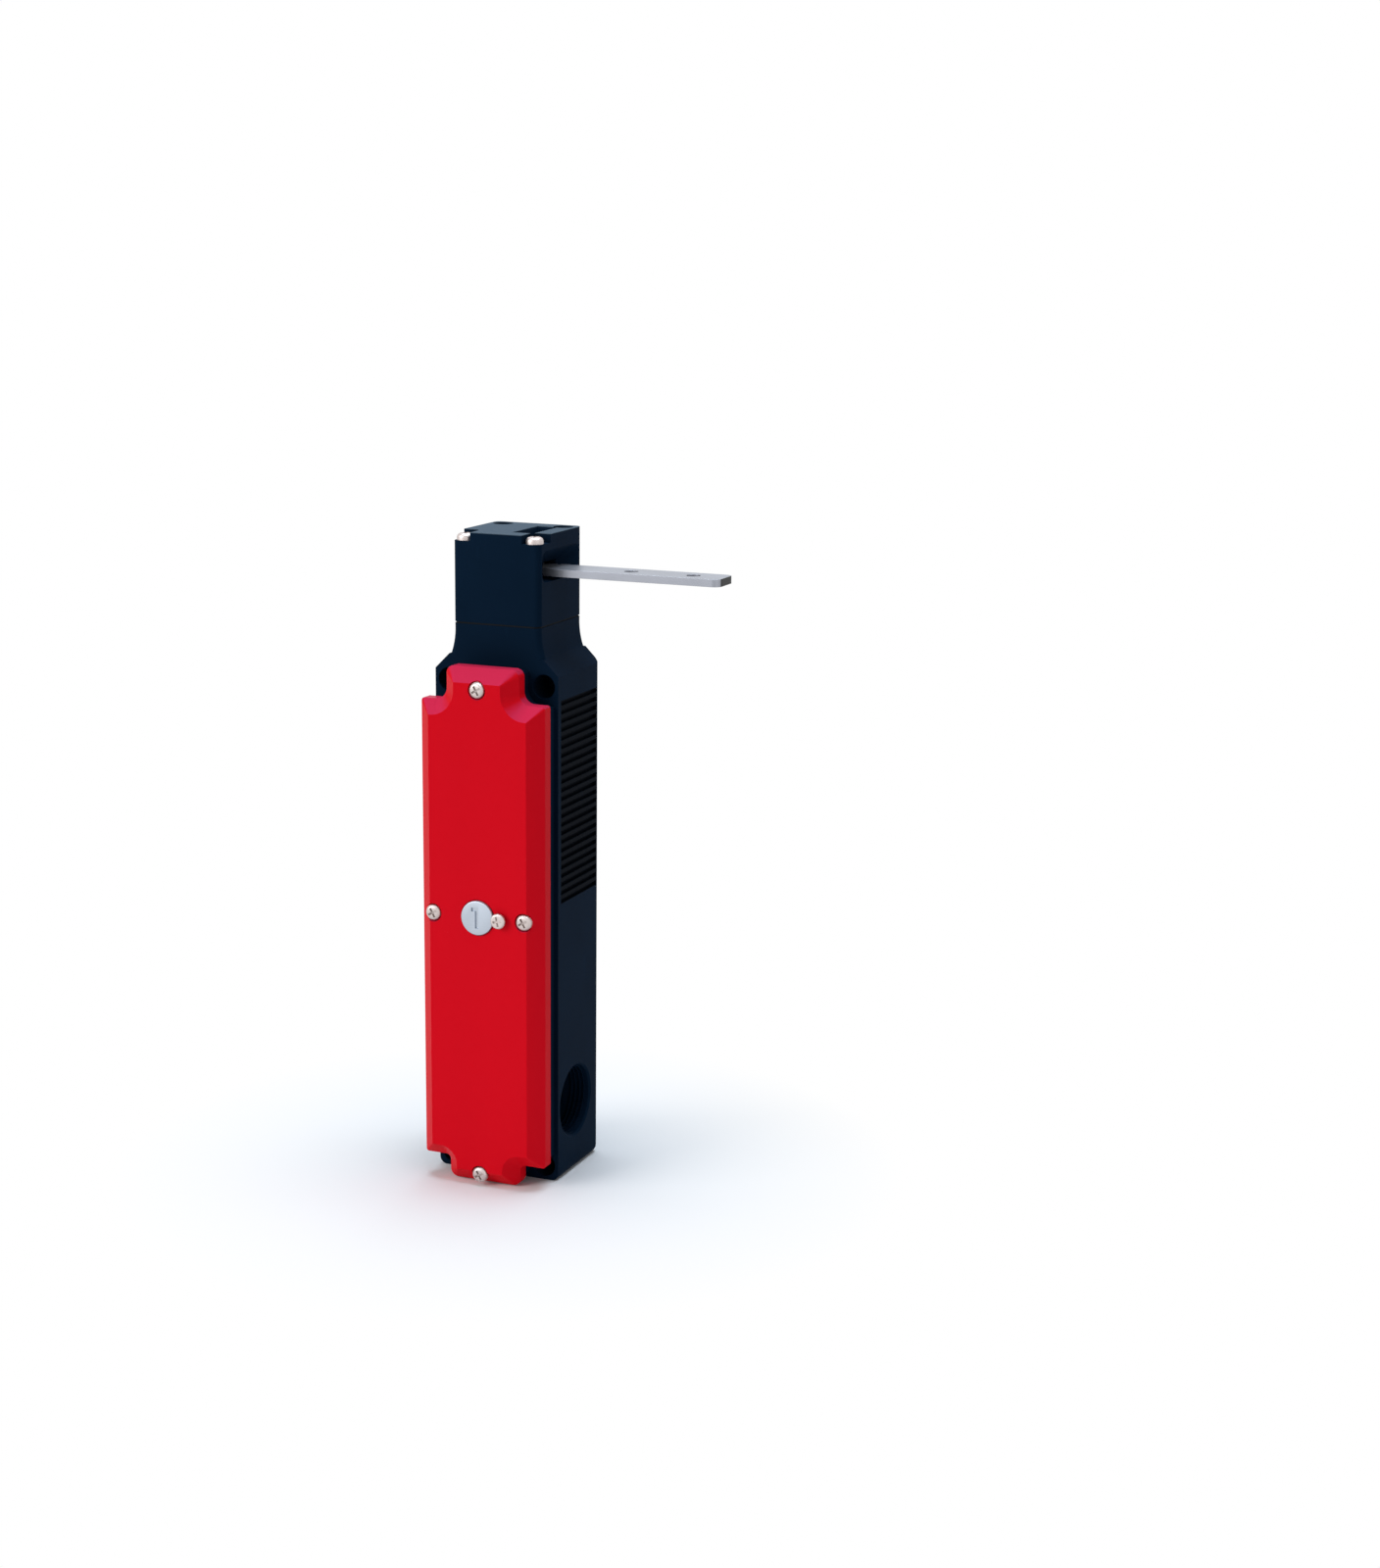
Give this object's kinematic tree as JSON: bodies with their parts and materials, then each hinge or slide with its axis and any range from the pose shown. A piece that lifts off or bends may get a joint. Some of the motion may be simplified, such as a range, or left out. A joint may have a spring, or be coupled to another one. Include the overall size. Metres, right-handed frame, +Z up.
{
  "type": "tongue interlock switch",
  "caption": "Guard-locking safety switch: tall ribbed housing with a bevelled red cover, a turret head with side and top entries, and a flat steel tongue that turns a cam.",
  "frame": {"origin": "centre of the foot, half way between the cover's front and the mounting face", "axes": "+Z up the long body, +X towards the side where the tongue enters, -Y towards the cover"},
  "size_m": [0.0928, 0.0482, 0.2106],
  "materials": {
    "navy_housing": "fine moulded grain",
    "navy_head": "fine moulded grain",
    "red_cover": "glossy",
    "black_rubber": "matt",
    "plated_screw": "zinc plated",
    "stainless": "rolled strip",
    "dark_steel": "turned",
    "black_plastic": "matt",
    "white_plastic": "matt",
    "copper_winding": "enamelled wire",
    "silver_contact": "silver plated",
    "brass_bush": "turned"
  },
  "bodies": {
    "switch_body": {"housing": "navy_housing", "front_cover": "red_cover", "cover_gasket": "black_rubber", "cover_screws": "plated_screw", "head_housing": "navy_head", "head_gasket": "black_rubber", "head_screws": "plated_screw", "cam_axle": "dark_steel", "rod_bush": "brass_bush", "rod_spring": "dark_steel", "solenoid_frame": "dark_steel", "solenoid_bobbin": "white_plastic", "solenoid_winding": "copper_winding", "solenoid_core": "dark_steel", "armature_spring": "dark_steel", "contact_block": "black_plastic", "fixed_contacts": "silver_contact", "terminal_block": "black_plastic", "terminal_screws": "plated_screw", "earth_screw": "brass_bush", "blanking_plug": "black_plastic", "plug_seal": "black_rubber", "release_bush": "brass_bush", "release_locking_screw": "plated_screw"},
    "tongue_body": {"tongue": "stainless"},
    "cam_body": {"cam_wheel": "dark_steel"},
    "rod_body": {"actuating_rod": "dark_steel", "rod_collar": "dark_steel", "contact_carrier": "white_plastic", "moving_contacts": "silver_contact"},
    "lock_body": {"armature": "dark_steel", "locking_fork": "stainless"},
    "release_body": {"release_disc": "stainless", "release_spindle": "dark_steel"}
  },
  "joints": [
    {"name": "tongue_slide", "type": "slide", "parent": "switch_body", "child": "tongue_body", "axis": [1, 0, 0], "range_m": [0, 0.024]},
    {"name": "cam_turn", "type": "hinge", "parent": "switch_body", "child": "cam_body", "pos_m": [-0.0023, 0.0071, 0.1896], "axis": [0, 1, 0], "range_deg": [0, 60]},
    {"name": "rod_slide", "type": "slide", "parent": "switch_body", "child": "rod_body", "axis": [0, 0, -1], "range_m": [0, 0.004], "deforming": ["rod_spring"]},
    {"name": "lock_slide", "type": "slide", "parent": "switch_body", "child": "lock_body", "axis": [0, 0, -1], "range_m": [0, 0.005], "deforming": ["armature_spring"]},
    {"name": "release_turn", "type": "hinge", "parent": "switch_body", "child": "release_body", "pos_m": [0, -0.023, 0.0901], "axis": [0, 1, 0], "range_deg": [0, 90]}
  ],
  "couplings": [
    {"joint": "cam_turn", "follows": "tongue_slide", "rad_per_m": 43.633},
    {"joint": "rod_slide", "follows": "tongue_slide", "ratio": 0.16667},
    {"joint": "lock_slide", "follows": "tongue_slide", "ratio": 0.20833}
  ]
}
